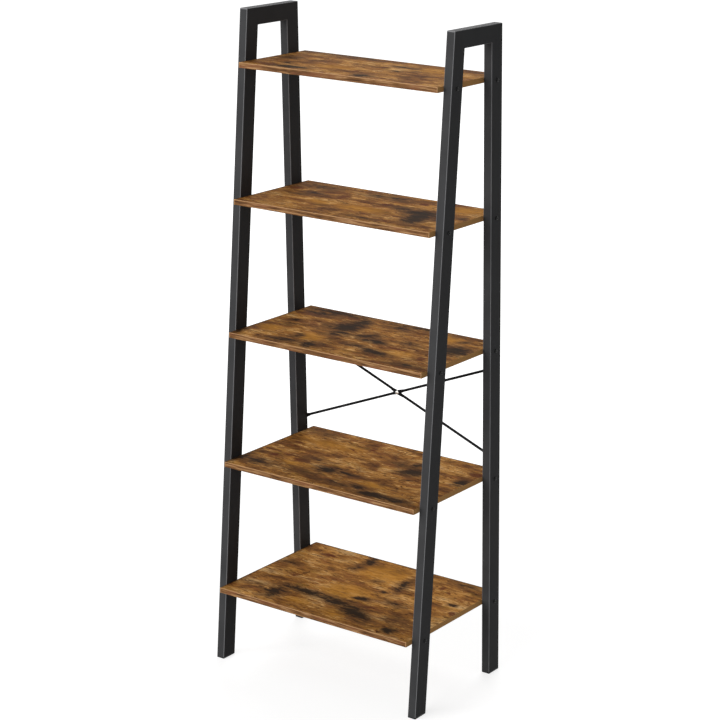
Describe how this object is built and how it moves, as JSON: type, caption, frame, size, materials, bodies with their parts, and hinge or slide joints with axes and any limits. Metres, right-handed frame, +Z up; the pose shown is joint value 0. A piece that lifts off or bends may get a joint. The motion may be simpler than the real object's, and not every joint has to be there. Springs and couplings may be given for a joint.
{
  "type": "ladder shelf",
  "caption": "Free-standing open ladder shelf: leaning black steel side frames carry wood-look boards that deepen downward, stiffened by a crossed brace and standing on screw levelling feet.",
  "frame": {"origin": "on the floor under the middle of the shelf", "axes": "+Z up, +Y to the back (the braced side), +X to the right seen from the front"},
  "size_m": [0.6054, 0.4006, 1.615],
  "materials": {
    "black_steel": "fine-textured matt black powder coat",
    "rustic_board": "rustic brown wood-look laminate, satin",
    "edge_band": "matching edge band, satin",
    "black_bolt": "satin black plating",
    "nickel_screw": "bright nickel plating",
    "plain_steel": "zinc plating",
    "black_plastic": "moulded, fine grain"
  },
  "bodies": {
    "frame": {"left_front_leg": "black_steel", "left_front_foot_plug": "black_plastic", "left_rear_leg": "black_steel", "left_rear_foot_plug": "black_plastic", "right_front_leg": "black_steel", "right_front_foot_plug": "black_plastic", "right_rear_leg": "black_steel", "right_rear_foot_plug": "black_plastic", "left_top_bar": "black_steel", "right_top_bar": "black_steel", "top_shelf": "rustic_board", "top_shelf_edging": "edge_band", "second_shelf": "rustic_board", "second_shelf_edging": "edge_band", "middle_shelf": "rustic_board", "middle_shelf_edging": "edge_band", "fourth_shelf": "rustic_board", "fourth_shelf_edging": "edge_band", "bottom_shelf": "rustic_board", "bottom_shelf_edging": "edge_band", "shelf_bolts": "black_bolt", "brace_front_rod": "black_steel", "brace_rear_rod": "black_steel", "brace_centre_screw": "nickel_screw", "brace_centre_nut": "nickel_screw", "brace_end_screws": "black_bolt", "brace_weld_nuts": "plain_steel"},
    "left_front_pad": {"left_front_foot_pad": "black_plastic"},
    "left_front_stem": {"left_front_foot_stem": "plain_steel"},
    "left_rear_pad": {"left_rear_foot_pad": "black_plastic"},
    "left_rear_stem": {"left_rear_foot_stem": "plain_steel"},
    "right_front_pad": {"right_front_foot_pad": "black_plastic"},
    "right_front_stem": {"right_front_foot_stem": "plain_steel"},
    "right_rear_pad": {"right_rear_foot_pad": "black_plastic"},
    "right_rear_stem": {"right_rear_foot_stem": "plain_steel"}
  },
  "joints": [
    {"name": "left_front_foot_slide", "type": "slide", "parent": "frame", "child": "left_front_pad", "axis": [0, 0, -1], "range_m": [0, 0.008]},
    {"name": "left_front_stem_spin", "type": "hinge", "parent": "left_front_pad", "child": "left_front_stem", "pos_m": [-0.289, -0.16397, 0], "axis": [0, 0, -1], "range_deg": [0, 2880.5]},
    {"name": "left_rear_foot_slide", "type": "slide", "parent": "frame", "child": "left_rear_pad", "axis": [0, 0, -1], "range_m": [0, 0.008]},
    {"name": "left_rear_stem_spin", "type": "hinge", "parent": "left_rear_pad", "child": "left_rear_stem", "pos_m": [-0.289, 0.16397, 0], "axis": [0, 0, -1], "range_deg": [0, 2880.5]},
    {"name": "right_front_foot_slide", "type": "slide", "parent": "frame", "child": "right_front_pad", "axis": [0, 0, -1], "range_m": [0, 0.008]},
    {"name": "right_front_stem_spin", "type": "hinge", "parent": "right_front_pad", "child": "right_front_stem", "pos_m": [0.289, -0.16397, 0], "axis": [0, 0, -1], "range_deg": [0, 2880.5]},
    {"name": "right_rear_foot_slide", "type": "slide", "parent": "frame", "child": "right_rear_pad", "axis": [0, 0, -1], "range_m": [0, 0.008]},
    {"name": "right_rear_stem_spin", "type": "hinge", "parent": "right_rear_pad", "child": "right_rear_stem", "pos_m": [0.289, 0.16397, 0], "axis": [0, 0, -1], "range_deg": [0, 2880.5]}
  ],
  "couplings": [
    {"joint": "left_front_stem_spin", "follows": "left_front_foot_slide", "rad_per_m": 6283.2},
    {"joint": "left_rear_stem_spin", "follows": "left_rear_foot_slide", "rad_per_m": 6283.2},
    {"joint": "right_front_stem_spin", "follows": "right_front_foot_slide", "rad_per_m": 6283.2},
    {"joint": "right_rear_stem_spin", "follows": "right_rear_foot_slide", "rad_per_m": 6283.2}
  ]
}
